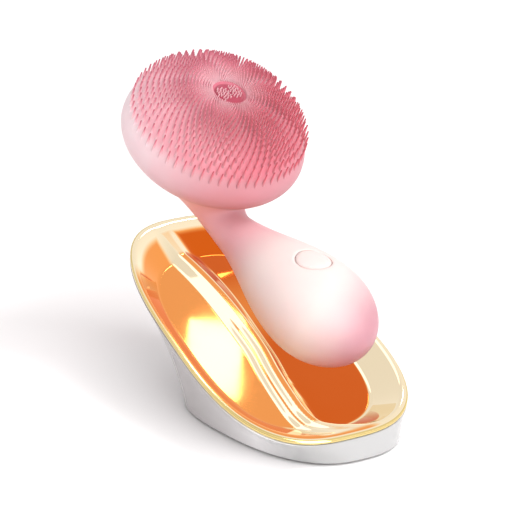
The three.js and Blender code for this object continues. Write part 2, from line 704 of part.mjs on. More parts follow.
piece('bristle_head', bristleHead(), 'bristle', head);
piece('head_core', headCore(), 'plastic', head);
piece('head_seal', new THREE.TorusGeometry(27.75, 0.5, 8, AROUND_HEAD).translate(0, 0, -3.85), 'rubber', head);
piece('motor_bracket', motorBracket(), 'plastic', head);
piece('motor', motorCan(), 'steel', head);
CUSHION.places.forEach((x, i) => {
  const ring = cut(
    rod(CUSHION.radius, x - CUSHION.width / 2, x + CUSHION.width / 2, MOTOR.axis, 28),
    rod(MOTOR.radius + GAP, x - CUSHION.width, x + CUSHION.width, MOTOR.axis, 28),
  );
  piece(`motor_cushion_${i + 1}`, ring, 'rubber', head);
});
piece('motor_shaft', rod(SHAFT.radius, SHAFT.rear, SHAFT.front, MOTOR.axis), 'steel', head);
piece('eccentric_weight', eccentricWeight(), 'steel', head);

// ---------------------------------------------------------------- assembly
const assembly = new THREE.Group();
assembly.add(stand, brush);
const extent = new THREE.Box3().setFromObject(assembly, true);
const middle = extent.getCenter(new THREE.Vector3());
assembly.position.set(-middle.x, -middle.y, -extent.min.z);
assembly.updateMatrixWorld(true);

export default assembly;
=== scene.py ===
import json
import math

import bpy
import numpy as np
from mathutils import Matrix, Vector


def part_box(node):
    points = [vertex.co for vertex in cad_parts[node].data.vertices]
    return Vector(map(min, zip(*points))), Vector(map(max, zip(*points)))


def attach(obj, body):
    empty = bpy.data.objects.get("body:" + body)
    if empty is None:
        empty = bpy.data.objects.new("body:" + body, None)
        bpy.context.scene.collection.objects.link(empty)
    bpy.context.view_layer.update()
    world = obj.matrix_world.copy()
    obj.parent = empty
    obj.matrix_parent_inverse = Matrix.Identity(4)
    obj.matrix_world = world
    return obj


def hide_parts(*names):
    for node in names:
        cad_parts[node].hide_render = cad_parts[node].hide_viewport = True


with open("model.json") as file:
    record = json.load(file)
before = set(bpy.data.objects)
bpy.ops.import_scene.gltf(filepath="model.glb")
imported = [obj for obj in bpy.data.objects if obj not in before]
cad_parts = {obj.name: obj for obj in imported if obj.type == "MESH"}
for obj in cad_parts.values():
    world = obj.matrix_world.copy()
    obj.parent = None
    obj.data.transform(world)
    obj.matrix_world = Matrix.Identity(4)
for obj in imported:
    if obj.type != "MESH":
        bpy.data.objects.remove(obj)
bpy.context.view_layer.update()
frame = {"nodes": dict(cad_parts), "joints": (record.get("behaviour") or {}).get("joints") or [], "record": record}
NODES = frame["nodes"]
RECORD = frame["record"]
JOINTS = {j["name"]: j for j in frame["joints"]}
MM = 0.001
DEG = math.pi / 180


def unit(v):
    v = np.asarray(v, float)
    return v / np.linalg.norm(v)


# ------------------------------------------------------ the CAD's own frames, in millimetres
low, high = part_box("base_cover")
STAND = np.array([(low.x + high.x) / 2, (low.y + high.y) / 2, 0]) / MM

HEAD_CENTRE = np.array([0, 64.6, 29.5])
HEAD_TILT = 10.8 * DEG
MOTOR_AT = np.array([9, 0, 0.5])
spin = JOINTS["motor_spin"]
across = unit(spin["axis"])
press = unit(JOINTS["button_press"]["axis"])
BRUSH = np.column_stack([across, unit(np.cross(-press, across)), -press])
TILT = np.array(Matrix.Rotation(HEAD_TILT, 3, "X"))
BULB = np.array(spin["pos_m"]) / MM - BRUSH @ (HEAD_CENTRE + TILT @ MOTOR_AT)


def from_brush(p):
    return np.asarray(p, float) @ BRUSH.T + BULB


def head_to_brush(p):
    return np.asarray(p, float) @ TILT.T + HEAD_CENTRE


def from_head(p):
    return from_brush(head_to_brush(p))


# ------------------------------------------------------ camera
AZIMUTH, ELEVATION, DISTANCE = -30.7 * DEG, 21.26 * DEG, 850.0
PX_PER_MM, FRAME_PX, FILM_WIDTH = 3.13, 515, 36
back = np.array([
    math.sin(AZIMUTH) * math.cos(ELEVATION),
    -math.cos(AZIMUTH) * math.cos(ELEVATION),
    math.sin(ELEVATION),
])
right = np.array([math.cos(AZIMUTH), math.sin(AZIMUTH), 0])
above = np.cross(back, right)
AIM = BULB - 19.0 * right + 16.45 * above       # the middle of the picture
eye = BULB + DISTANCE * back
back = unit(eye - AIM)
right = unit(right - (right @ back) * back)
camera = bpy.data.objects.new("camera", bpy.data.cameras.new("camera"))
bpy.context.scene.collection.objects.link(camera)
camera.data.sensor_width = FILM_WIDTH
camera.data.lens = FILM_WIDTH * PX_PER_MM * DISTANCE / FRAME_PX
camera.data.clip_end = 50
pose = Matrix.Identity(4)
for i in range(3):
    pose[i][0], pose[i][1], pose[i][2] = right[i], np.cross(back, right)[i], back[i]
    pose[i][3] = eye[i] * MM
camera.matrix_world = pose
bpy.context.scene.camera = camera


# ------------------------------------------------------ mesh helpers
def make_object(name, points, faces, sharp=None):
    """A smooth-shaded object from points in millimetres."""
    mesh = bpy.data.meshes.new(name)
    mesh.from_pydata((np.asarray(points) * MM).tolist(), [], [tuple(f) for f in faces])
    mesh.validate()
    mesh.shade_smooth()
    if sharp:
        mesh.set_sharp_from_angle(angle=sharp * DEG)
    obj = bpy.data.objects.new(name, mesh)
    bpy.context.scene.collection.objects.link(obj)
    return obj


def skin(rings, wrap=False):
    """A closed surface through rings: wrapped round to the first, or capped by a fan at each end."""
    rings = np.asarray(rings, float)
    count, around = rings.shape[:2]
    points = rings.reshape(-1, 3)
    i = np.arange(count if wrap else count - 1)[:, None]
    j = np.arange(around)[None, :]
    a = i * around
    b = ((i + 1) % count) * around
    k = (j + 1) % around
    faces = np.stack([a + j, b + j, b + k, a + k], -1).reshape(-1, 4).tolist()
    if not wrap:
        tail = (count - 1) * around
        points = np.vstack([points, rings[0].mean(0), rings[-1].mean(0)])
        start, end = len(points) - 2, len(points) - 1
        loop = np.arange(around)
        faces += [[start, n, (n + 1) % around] for n in loop]
        faces += [[end, tail + (n + 1) % around, tail + n] for n in loop]
    if volume(points, faces) < 0:
        faces = [f[::-1] for f in faces]
    return points, faces


def volume(points, faces):
    total = 0.0
    p = np.asarray(points, float)
    for size in (3, 4):
        f = np.array([x for x in faces if len(x) == size])
        for n in range(1, size - 1):
            if len(f):
                total += np.einsum("ij,ij->i", p[f[:, 0]], np.cross(p[f[:, n]], p[f[:, n + 1]])).sum()
    return total / 6


def closing_face(faces, ring):
    """One face over a ring of points, facing the way its neighbours do."""
    ring = list(ring)
    for face in faces:
        if ring[0] in face and ring[1] in face:
            follows = face[(face.index(ring[0]) + 1) % len(face)] == ring[1]
            return ring[::-1] if follows else ring
    return ring


def merged(parts):
    """One list of points and faces from several."""
    points, faces, start = [], [], 0
    for p, f in parts:
        points.append(np.asarray(p, float))
        faces += [[v + start for v in face] for face in f]
        start += len(p)
    return np.vstack(points), faces


def carve(obj, cutter):
    """Takes the cutter out of obj, and deletes the cutter."""
    mod = obj.modifiers.new("cut", "BOOLEAN")
    mod.operation = "DIFFERENCE"
    mod.solver = "EXACT"
    mod.object = cutter
    graph = bpy.context.evaluated_depsgraph_get()
    mesh = bpy.data.meshes.new_from_object(obj.evaluated_get(graph))
    obj.modifiers.clear()
    obj.data = mesh
    bpy.data.objects.remove(cutter)


def smooth(t):
    t = np.clip(t, 0, 1)
    return t * t * (3 - 2 * t)


def slope(t, fillet):
    """Rises from 0 to 1 in a straight slope with a fillet at each end."""
    x = np.clip(t, 0, 1)
    bend = 2 * fillet * (1 - fillet)
    straight = (x - fillet / 2) / (1 - fillet)
    above_foot = np.where(x > 1 - fillet, 1 - (1 - x) ** 2 / bend, straight)
    return np.where(x < fillet, x * x / bend, above_foot)


def paint(obj, name, values):
    """Keeps one number per point in the mesh, for a material to read."""
    layer = obj.data.attributes.new(name, "FLOAT", "POINT")
    layer.data.foreach_set("value", np.asarray(values, np.float32))


def turned(profile, sides):
    """Rings of a closed [radius, height] profile about Z."""
    a = np.arange(sides) * 2 * math.pi / sides
    return np.array([
        np.column_stack([r * np.cos(a), r * np.sin(a), np.full(sides, z)]) for r, z in profile
    ])


# ------------------------------------------------------ stand: the CAD's surfaces, finer
FOOTPRINT = dict(length=39.6, width=28.8, power=2.64, taper=0.19)
RIM = dict(length=60.4, width=32.4, power=2.86, taper=-0.1)
RIM_CENTRE = np.array([-4, 18.1, 27.7])
RIM_TILT = 17.2 * DEG
RIM_TURN = np.array(Matrix.Rotation(RIM_TILT, 3, "X"))
LIP_HEIGHT, SHELL_GAP, SHELL_BOTTOM, SHELL_WALL, TRAY_SHEET = 1.5, 0.3, 0.8, 1.5, 1.2
SHELL_SIDES, TRAY_SIDES = 240, 480
SHELL_EDGE = dict(bottom=0.7, top=0.35)  # radii of the shell's rounded edges
# The lip's bevel, its roll, and the rim's mean radius
LIP_EDGE, LIP_ROUND, MEAN_REACH = 0.12, 0.5, 45.0
RIDGE_ROUTE = [
    (-9, 64), (-6.8, 50.7), (-4.5, 36), (-3.2, 22), (-3, 8), (-3.8, -8.6),
    (-5.6, -20.5), (-6.9, -32.8), (-7.2, -43), (-5.4, -49.4), (-2.2, -53.1), (4, -57), (12, -63),
]


def outline(shape, angle, inset=0.0):
    c, s = np.cos(angle), np.sin(angle)
    power = 2 / shape["power"]
    y = (shape["length"] - inset) * np.sign(c) * np.abs(c) ** power
    x = (shape["width"] - inset) * np.sign(s) * np.abs(s) ** power
    return x * (1 + shape["taper"] * y / shape["length"]), y


def on_rim(u, v, depth):
    p = np.stack(np.broadcast_arrays(u, v, -np.asarray(depth, float)), -1)
    return p @ RIM_TURN.T + RIM_CENTRE + STAND


def spline(route, per_span):
    """A Catmull-Rom curve through the route's points (centripetal, as the CAD's is)."""
    p = np.array(route, float)
    p = np.vstack([2 * p[0] - p[1], p, 2 * p[-1] - p[-2]])
    knots = np.r_[0, np.cumsum(np.linalg.norm(np.diff(p, axis=0), axis=1) ** 0.5)]
    found = []
    for i in range(1, len(p) - 2):
        t = np.linspace(knots[i], knots[i + 1], per_span, endpoint=False)[:, None]
        a = [
            (knots[i + j] - t) / (knots[i + j] - knots[i + j - 1]) * p[i + j - 1]
            + (t - knots[i + j - 1]) / (knots[i + j] - knots[i + j - 1]) * p[i + j]
            for j in (0, 1, 2)
        ]
        b = [
            (knots[i + 1 + j] - t) / (knots[i + 1 + j] - knots[i - 1 + j]) * a[j]
            + (t - knots[i - 1 + j]) / (knots[i + 1 + j] - knots[i - 1 + j]) * a[j + 1]
            for j in (0, 1)
        ]
        found.append((knots[i + 1] - t) / (knots[i + 1] - knots[i]) * b[0]
                     + (t - knots[i]) / (knots[i + 1] - knots[i]) * b[1])
    return np.vstack([*found, p[-2]])


RIDGE = spline(RIDGE_ROUTE, 24)


def past_ridge(u, v):
    """Distance from the ridge's crest, positive on the channel's side."""
    q = np.stack([u, v], -1).reshape(-1, 2)
    a, d = RIDGE[:-1], np.diff(RIDGE, axis=0)
    best = np.full(len(q), 1e9)
    side = np.ones(len(q))
    for k in range(len(a)):
        w = q - a[k]
        t = np.clip(w @ d[k] / (d[k] @ d[k]), 0, 1)
        away = np.linalg.norm(w - t[:, None] * d[k], axis=1)
        near = away < best
        best[near] = away[near]
        side[near] = np.sign(d[k][0] * w[near, 1] - d[k][1] * w[near, 0])
    side[side == 0] = 1
    return (best * side).reshape(np.shape(u))


WALL_SHARE = dict(wing=0.195, channel=0.22, front=0.18, rear=0.29)
LIP_SHARE, WALL_FILLET, RIDGE_FILLET = 0.03, 0.14, 0.22
RIDGE_HALF, RIDGE_DEPTH, WING_DEPTH = 0.7, 2.6, 5.4
CHANNEL_DEPTH, CHANNEL_REAR_DEPTH = 7.9, 5.0
WING_FLANK, CHANNEL_FLANK = dict(front=4.6, rear=3.4), 5.4
# A fine ledge on the ridge's wing side: its place on the flank, and where it fades out to the rear
LEDGE = dict(low=0.44, high=0.56, ends=0.0, fade=22.0, fillet=0.3)


def rim_place(u, v):
    """How far a place is across the tray, along it, and out from its centre, as shares of the rim's."""
    along = v / RIM["length"]
    side = u / (RIM["width"] * (1 + RIM["taper"] * along))
    reach = (np.abs(side) ** RIM["power"] + np.abs(along) ** RIM["power"]) ** (1 / RIM["power"])
    return side, along, reach


def tray_depth(u, v):
    """Depth of the tray's top surface below the rim plane."""
    side, along, reach = rim_place(u, v)
    end = np.where(along > 0, WALL_SHARE["rear"], WALL_SHARE["front"])
    flank = WALL_SHARE["wing"] + (WALL_SHARE["channel"] - WALL_SHARE["wing"]) * smooth(side + 0.5)
    wall = slope((1 - reach - LIP_SHARE) / (flank + (end - flank) * along ** 2), WALL_FILLET)
    past = past_ridge(u, v)
    channel = CHANNEL_DEPTH + (CHANNEL_REAR_DEPTH - CHANNEL_DEPTH) * smooth((v + 5) / 40)
    wing_flank = WING_FLANK["front"] + (WING_FLANK["rear"] - WING_FLANK["front"]) * smooth((v - 5) / 40)
    floor = np.where(past > 0, channel, WING_DEPTH)
    width = np.where(past > 0, CHANNEL_FLANK, wing_flank)
    out = (np.abs(past) - RIDGE_HALF) / width
    fall = slope(out, RIDGE_FILLET)
    upper = slope(out / LEDGE["low"], LEDGE["fillet"])
    lower = slope((out - LEDGE["high"]) / (1 - LEDGE["high"]), LEDGE["fillet"])
    ledge = np.where(past > 0, 0, 1 - smooth((v - LEDGE["ends"]) / LEDGE["fade"]))
    fall = fall + (0.5 * upper + 0.5 * lower - fall) * ledge
    return wall * (RIDGE_DEPTH + (floor - RIDGE_DEPTH) * fall)


def tray_steepness(u, v, step=0.05):
    across = tray_depth(u + step, v) - tray_depth(u - step, v)
    up = tray_depth(u, v + step) - tray_depth(u, v - step)
    return np.hypot(across, up) / (2 * step)


def stand_shell():
    angle = np.arange(SHELL_SIDES) * 2 * math.pi / SHELL_SIDES
    foot_edge, top_edge = SHELL_EDGE["bottom"], SHELL_EDGE["top"]

    def ring(share, inset, lift=0.0):
        foot_x, foot_y = outline(FOOTPRINT, angle, inset)
        top = on_rim(*outline(RIM, angle, inset), LIP_HEIGHT + SHELL_GAP) - STAND
        sweep = share ** 1.4
        p = np.column_stack([
            foot_x + (top[:, 0] - foot_x) * sweep, foot_y + (top[:, 1] - foot_y) * sweep,
            SHELL_BOTTOM + (top[:, 2] - SHELL_BOTTOM) * share + lift,
        ])
        return p + STAND

    turn = np.linspace(0, math.pi / 2, 5)
    bottom = [ring(0, foot_edge * (1 - math.sin(t)), foot_edge * (1 - math.cos(t))) for t in turn]
    outer = [ring(s, 0) for s in np.linspace(0.03, 0.985, 48)]
    top = [ring(1, top_edge * (1 - math.cos(t)), -top_edge * (1 - math.sin(t))) for t in turn]
    inner = [ring(s, SHELL_WALL) for s in np.linspace(1, 0, 16)]
    return make_object("glossy_shell", *skin([*bottom, *outer, *top, *inner], True), sharp=50)


# What the tray's points say of their place: -1 on the channel's deep floor, painted shade; 0 on the wing's flat
# one;
# 1 on a wall or a flank, a painted pale reflection; 2 on the lip's outer edge, a painted dim reflection
PAINTED_SHADE_TONE, PAINTED_REFLECTION_TONE, PAINTED_DIM_REFLECTION_TONE = -1.0, 1.0, 2.0
STEEP = 0.32                            # rise for run at which a wall counts as one
LIP_LINE = 0.981                        # the painted pale highlight line inside the lip starts at this share of the rim
BRIM = dict(start=0.87, fade=0.05)      # and the painted pale reflection of the brim, at the rear and past the ridge, at this
REAR = dict(start=30.0, fade=12.0)
RIDGE_BAND = dict(front=9.0, rear=5.0)  # how far from its crest the ridge keeps the walls' painted reflection


def tray_tone(u, v):
    """Which of the plating's colours a place on the tray's top has: painted shade on the channel's deep floor,
    painted reflection on its walls, flanks and brim.
    """
    past = past_ridge(u, v)
    rear = smooth((v - REAR["start"]) / REAR["fade"])
    brim = smooth((rim_place(u, v)[2] - BRIM["start"]) / BRIM["fade"])
    beyond = smooth(past / 4)
    # the floor's colours, with no painted reflection, run on up the rear wall as far as the brim, and up the
    # wing's walls to the lip
    band = RIDGE_BAND["front"] + (RIDGE_BAND["rear"] - RIDGE_BAND["front"]) * rear
    on_ridge = smooth((band - np.abs(past)) / 2)
    painted_reflection = smooth(tray_steepness(u, v) / STEEP) * np.maximum(on_ridge, beyond * (1 - rear))
    painted_reflection = np.maximum(painted_reflection, brim * np.maximum(rear, beyond))
    # painted shade: the channel's deep floor, and the rear past the ridge, darker
    deep = np.maximum(smooth((tray_depth(u, v) - RIDGE_DEPTH) / 2.2), rear) * beyond
    return deep * (1 - painted_reflection) * PAINTED_SHADE_TONE + painted_reflection * PAINTED_REFLECTION_TONE


def gold_tray():
    angle = np.arange(TRAY_SIDES) * 2 * math.pi / TRAY_SIDES
    rim_u, rim_v = outline(RIM, angle)
    lip = [(LIP_EDGE, LIP_HEIGHT), (0, LIP_HEIGHT - LIP_EDGE), (0, LIP_ROUND)]
    quarter = np.linspace(0, math.pi / 2, 7)
    lip += [(LIP_ROUND * (1 - math.cos(t)), LIP_ROUND * (1 - math.sin(t))) for t in quarter]
    shares = [1 - inset / MEAN_REACH for inset, _ in lip]
    rows = [on_rim(rim_u * share, rim_v * share, depth) for share, (_, depth) in zip(shares, lip)]
    # the lip's outer edge has the painted dim reflection, its inner edge the painted pale highlight
    tones = [np.full(len(angle), PAINTED_DIM_REFLECTION_TONE)] * len(lip)
    tones[-1] = np.full(len(angle), PAINTED_REFLECTION_TONE)
    walls, middle = np.linspace(0.983, 0.6, 64), np.linspace(0.594, 0.01, 84)
    for share in [*walls, *middle]:
        u, v = rim_u * share, rim_v * share
        rows.append(on_rim(u, v, tray_depth(u, v)))
        # a painted pale highlight line inside the lip; within it, the painted shade and reflections
        tones.append(np.maximum(tray_tone(u, v), PAINTED_REFLECTION_TONE if share > LIP_LINE else PAINTED_SHADE_TONE))
    top_count = len(rows)
    for share in np.linspace(0.01, 0.985, 40):
        u, v = rim_u * share, rim_v * share
        rows.append(on_rim(u, v, np.maximum(LIP_HEIGHT, tray_depth(u, v) + TRAY_SHEET)))
        tones.append(np.zeros(len(angle)))
    # one closed band from the lip in to the centre and, underneath, back out again
    points, faces = skin(rows, True)
    around = len(angle)
    seam = set(range((top_count - 1) * around, top_count * around))
    below = set(range(top_count * around, (top_count + 1) * around))
    faces = [f for f in faces if not (seam & set(f) and below & set(f))]
    faces += [closing_face(faces, sorted(seam)), closing_face(faces, sorted(below))]
    obj = make_object("plated_tray", points, faces)
    paint(obj, "tone", np.concatenate(tones))
    return obj


# ------------------------------------------------------ brush: handle, neck and head surfaces
BULB_RADIUS, TIP_LENGTH = 16.9, 23
NECK_RADIUS, NECK_LENGTH, NECK_END = 6.6, 52, 44.5
WIDER, FLATTER = 1.04, 0.955
SLEEVE_WALL = 1.5
HEAD = dict(radius=31.1, equator=-3.6, dome=19.2, cup=14.8, end=-34.6 * DEG)
CAP_WALL = 2.0
FLARE = dict(radius=24.7, height=-12.1, angle=50 * DEG)
BUTTON = dict(y=6.5, radius=5.8, bottom=12.4, stem=2, stem_bottom=11.2)
PORT = dict(y=-19.4, mouth=1.4)
BUTTON_GAP = 0.3                        # between the button and its hole
HOLE_ROLL = dict(depth=0.35, width=1.1)  # the rolled edge round the hole
HOLE_BOTTOM, ABOVE_SKIN = 8.0, 20.0     # the hole's cutter reaches from one to the other


def handle_radius(y):
    y = np.asarray(y, float)
    bulb = BULB_RADIUS * np.sqrt(np.clip(1 - (y / TIP_LENGTH) ** 2, 0, 1))
    taper = NECK_RADIUS + (BULB_RADIUS - NECK_RADIUS) * (1 + np.cos(math.pi * y / NECK_LENGTH)) / 2
    return np.where(y < 0, bulb, taper)


# Angles round the handle, closer together on top, where the button is
around_top = np.linspace(-30, 30, 61)[:-1]
around_rest = np.linspace(30, 330, 101)[:-1]
HANDLE_ANGLES = (90 + np.r_[around_top, around_rest]) * DEG


def handle_ring(y, radius):
    c, s = np.cos(HANDLE_ANGLES), np.sin(HANDLE_ANGLES)
    return np.column_stack([radius * WIDER * c, np.full(len(c), y), radius * FLATTER * s])


def trumpet_ring(t, inset):
    c, s = np.cos(HANDLE_ANGLES), np.sin(HANDLE_ANGLES)
    start = float(handle_radius(NECK_END)) - inset
    radius, height = FLARE["radius"] - inset, FLARE["height"]
    p0 = np.column_stack([start * WIDER * c, np.full(len(c), NECK_END), start * FLATTER * s])
    p3 = head_to_brush(np.column_stack([radius * c, -radius * s, np.full(len(c), height)]))
    reach = np.linalg.norm(p3 - p0, axis=1)
    slope = float(handle_radius(NECK_END + 0.01) - handle_radius(NECK_END - 0.01)) / 0.02
    leave = np.column_stack([slope * WIDER * c, np.ones(len(c)), slope * FLATTER * s])
    p1 = p0 + leave * (5 + 0.2 * reach)[:, None]
    length = 4 + 0.25 * reach
    inward = radius - math.sin(FLARE["angle"]) * length
    p2 = head_to_brush(np.column_stack([
        inward * c, -inward * s, height - math.cos(FLARE["angle"]) * length,
    ]))
    return (1 - t) ** 3 * p0 + 3 * t * (1 - t) ** 2 * p1 + 3 * t * t * (1 - t) * p2 + t ** 3 * p3


def silicone_sleeve():
    turn = np.linspace(0, math.pi / 2, 40)[:-1]
    tip = [(-TIP_LENGTH * math.cos(t), BULB_RADIUS * math.sin(t)) for t in turn]
    ys = np.r_[np.arange(0, 14, 0.35), np.linspace(14, NECK_END, 34)]
    outer = [handle_ring(y, r) for y, r in tip] + [handle_ring(y, float(handle_radius(y))) for y in ys]
    outer += [trumpet_ring(t, 0) for t in np.linspace(0, 1, 40)[1:]]
    outer = np.array(outer)
    # a rolled edge round the button's hole
    top = outer[..., 2] > 6
    away = np.hypot(outer[..., 0], outer[..., 1] - BUTTON["y"])
    rolled = np.clip(1 - (away - BUTTON["radius"] - 0.2) / HOLE_ROLL["width"], 0, 1) ** 2
    outer[..., 2] -= np.where(top & (away < 8), HOLE_ROLL["depth"] * rolled, 0)
    inner_length, inner_radius = TIP_LENGTH - SLEEVE_WALL, BULB_RADIUS - SLEEVE_WALL
    inner = [handle_ring(-inner_length * math.cos(t), inner_radius * math.sin(t))
             for t in np.linspace(0, math.pi / 2, 14)[:-1]]
    inner += [handle_ring(y, float(handle_radius(y)) - SLEEVE_WALL)
              for y in np.linspace(0, NECK_END, 26)]
    inner += [trumpet_ring(t, SLEEVE_WALL) for t in np.linspace(0, 1, 26)[1:]]
    # the mouth's edge is rounded between the outer and the inner wall
    mouth_out, mouth_in = outer[-1], np.array(inner[-1])
    lip = []
    rise = head_to_brush([0, 0, 1.0]) - head_to_brush([0, 0, 0.0])
    for t in np.linspace(0, math.pi, 7)[1:-1]:
        mix = (1 - math.cos(t)) / 2
        lip.append(mouth_out * (1 - mix) + mouth_in * mix + rise * 0.35 * math.sin(t))
    rows = [*outer, *lip, *inner[::-1]]
    points, faces = skin(rows, True)
    obj = make_object("silicone_sleeve", from_brush(points), faces)
    hole_radius = BUTTON["radius"] + BUTTON_GAP
    hole = turned([(hole_radius, HOLE_BOTTOM), (hole_radius, ABOVE_SKIN)], 96)
    hole[..., 1] += BUTTON["y"]
    points, faces = skin(hole)
    carve(obj, make_object("cutter", from_brush(points), faces))
    carve(obj, make_object("cutter", *port_rod(PORT["mouth"], -4, ABOVE_SKIN)))
    obj.data.shade_smooth()
    obj.data.set_sharp_from_angle(angle=40 * DEG)
    return obj


PORT_DROP = -float(handle_radius(PORT["y"])) * FLATTER
PORT_TURN = math.atan2(-PORT_DROP / (BULB_RADIUS * FLATTER) ** 2, -PORT["y"] / TIP_LENGTH ** 2)


def port_rod(radius, inward, out):
    """A cylinder along the port's axis, counted from the silicone's surface."""
    turn = np.array(Matrix.Rotation(math.pi / 2 + PORT_TURN, 3, "X"))
    rings = turned([(radius, inward), (radius, out)], 48) @ turn.T + np.array([0, PORT["y"], PORT_DROP])
    return skin([from_brush(r) for r in rings])


def handle_top(x, y):
    return FLATTER * np.sqrt(np.clip(handle_radius(y) ** 2 - (x / WIDER) ** 2, 0, None))


# The button's face: radius, and how far its rounded edge falls away
BUTTON_FACE = [
    (0.4, 0), (1.2, 0), (2.2, 0), (3.2, 0), (4, 0), (4.5, 0),
    (4.9, 0.02), (5.2, 0.07), (5.45, 0.16), (5.65, 0.29), (5.77, 0.45), (5.8, 0.6),
]
BUTTON_DOME = 0.25                      # how far the face's middle stands over the handle's curve


def press_button():
    a = np.arange(96) * 2 * math.pi / 96
    edge, bottom = BUTTON["radius"], BUTTON["bottom"]
    stem, stem_bottom = BUTTON["stem"], BUTTON["stem_bottom"]
    rings = []
    for r, sink in BUTTON_FACE:
        x, y = r * np.cos(a), BUTTON["y"] + r * np.sin(a)
        dome = BUTTON_DOME * (1 - (r / edge) ** 2)
        rings.append(np.column_stack([x, y, handle_top(x, y) + dome - sink]))
    for r, z in [(edge, bottom + 0.3), (edge - 0.3, bottom), (stem, bottom), (stem, stem_bottom + 0.2),
                 (stem - 0.2, stem_bottom)]:
        rings.append(np.column_stack([r * np.cos(a), BUTTON["y"] + r * np.sin(a), np.full(len(a), z)]))
    points, faces = skin(rings)
    return make_object("press_button", from_brush(points), faces, sharp=50)


def dome_height(r):
    return HEAD["equator"] + HEAD["dome"] * np.sqrt(np.clip(1 - (r / HEAD["radius"]) ** 2, 0, 1))


def cap_profile(inset, turns):
    found = []
    for t in turns:
        rise = HEAD["dome"] if math.sin(t) > 0 else HEAD["cup"]
        height = HEAD["equator"] + (rise - inset) * math.sin(t)
        found.append(((HEAD["radius"] - inset) * math.cos(t), height))
    return found


PIN_SIDES, PIN_TONE, PIN_LENGTH, PIN_BASE, PIN_TIP = 8, 0.95, 4.4, 0.52, 0.45
PIN_ROOT, SHORT_ROOT = 0.8, 0.6         # how far the pins' feet stand in the cap
PER_RING, RING_COUNT, FIELD_IN, FIELD_OUT = 60, 20, 6.0, 29.6
OPENING = 1.4                           # how much the rings open outwards: 1 is even spacing
CROWN = 1.3                             # the crown ends this far round the profile, in radians
GROOVE = dict(radius=4.9, width=0.55, depth=0.7)
ROSETTE = dict(pins=30, at=2.2, spacing=0.52, length=0.8, base=0.24, tip=0.2)
GOLDEN_TURN = math.pi * (3 - math.sqrt(5))
CAP_SIDES = 160


def pins(places):
    """Tapered round-tipped pins, each from its x, y, foot and tip heights, and base and tip radii."""
    a = np.arange(PIN_SIDES) * 2 * math.pi / PIN_SIDES
    cos, sin = np.cos(a), np.sin(a)
    points, faces, tones = [], [], []
    for x, y, foot, tip, base, end in places:
        start = len(points)
        top_tone = PIN_TONE * (0.2 + 0.8 * float(smooth((math.hypot(x, y) - 5) / 12)))
        length = tip - foot
        levels = [(foot + length * share, end + (base - end) * mix)
                  for share, mix in ((0, 1.0), (0.3, 0.72), (0.6, 0.36))]
        levels += [(tip - end, end), (tip - 0.35 * end, 0.75 * end)]
        for z, r in levels:
            points += [(x + r * c, y + r * s, z) for c, s in zip(cos, sin)]
            tones += [top_tone * ((z - foot) / length) ** 1.4] * PIN_SIDES
        points.append((x, y, tip))
        tones.append(top_tone)
        for i in range(len(levels) - 1):
            low_ring, high_ring = start + i * PIN_SIDES, start + (i + 1) * PIN_SIDES
            for j in range(PIN_SIDES):
                k = (j + 1) % PIN_SIDES
                faces.append([low_ring + j, low_ring + k, high_ring + k, high_ring + j])
        last = start + (len(levels) - 1) * PIN_SIDES
        top = start + PIN_SIDES * len(levels)
        faces += [[last + j, last + (j + 1) % PIN_SIDES, top] for j in range(PIN_SIDES)]
        faces.append([start + j for j in range(PIN_SIDES)][::-1])
    return points, faces, tones


def bristle_places():
    """The field's rings, each turned half a step, and the crown's two rosettes of short pins."""
    places = []
    for ring in range(RING_COUNT):
        r = FIELD_IN + (FIELD_OUT - FIELD_IN) * (ring / (RING_COUNT - 1)) ** OPENING
        base = min(PIN_BASE, 0.72 * math.pi * r / PER_RING)
        length = PIN_LENGTH * (0.32 + 0.68 * float(smooth((r - 5) / 11)))
        foot = float(dome_height(r))
        for n in range(PER_RING):
            a = 2 * math.pi * (n + ring / 2) / PER_RING
            x, y = r * math.cos(a), r * math.sin(a)
            places.append((x, y, foot - PIN_ROOT, foot + length, base, base * PIN_TIP))
    for side in (-1, 1):
        for n in range(ROSETTE["pins"]):
            r, a = ROSETTE["spacing"] * math.sqrt(n), n * GOLDEN_TURN * side
            x, y = side * ROSETTE["at"] + r * math.cos(a), r * math.sin(a)
            # none over the middle line or in the groove
            if side * x < 0.25 or math.hypot(x, y) > GROOVE["radius"] - 0.5:
                continue
            foot = float(dome_height(math.hypot(x, y)))
            tip = foot + ROSETTE["length"]
            places.append((x, y, foot - SHORT_ROOT, tip, ROSETTE["base"], ROSETTE["tip"]))
    return places


def cap_tone(r, z, dent):
    """How deep a rose the cap's skin has: 0 on the cup, 1 on the crown, and 1 in its dents as painted shade."""
    if r < GROOVE["radius"]:
        field = 1.0
    else:
        field = 0.3 * float(smooth((FIELD_OUT - r) / 2)) + 0.5 * float(smooth((15 - r) / 10))
    return max(dent, field if z > HEAD["equator"] else 0)


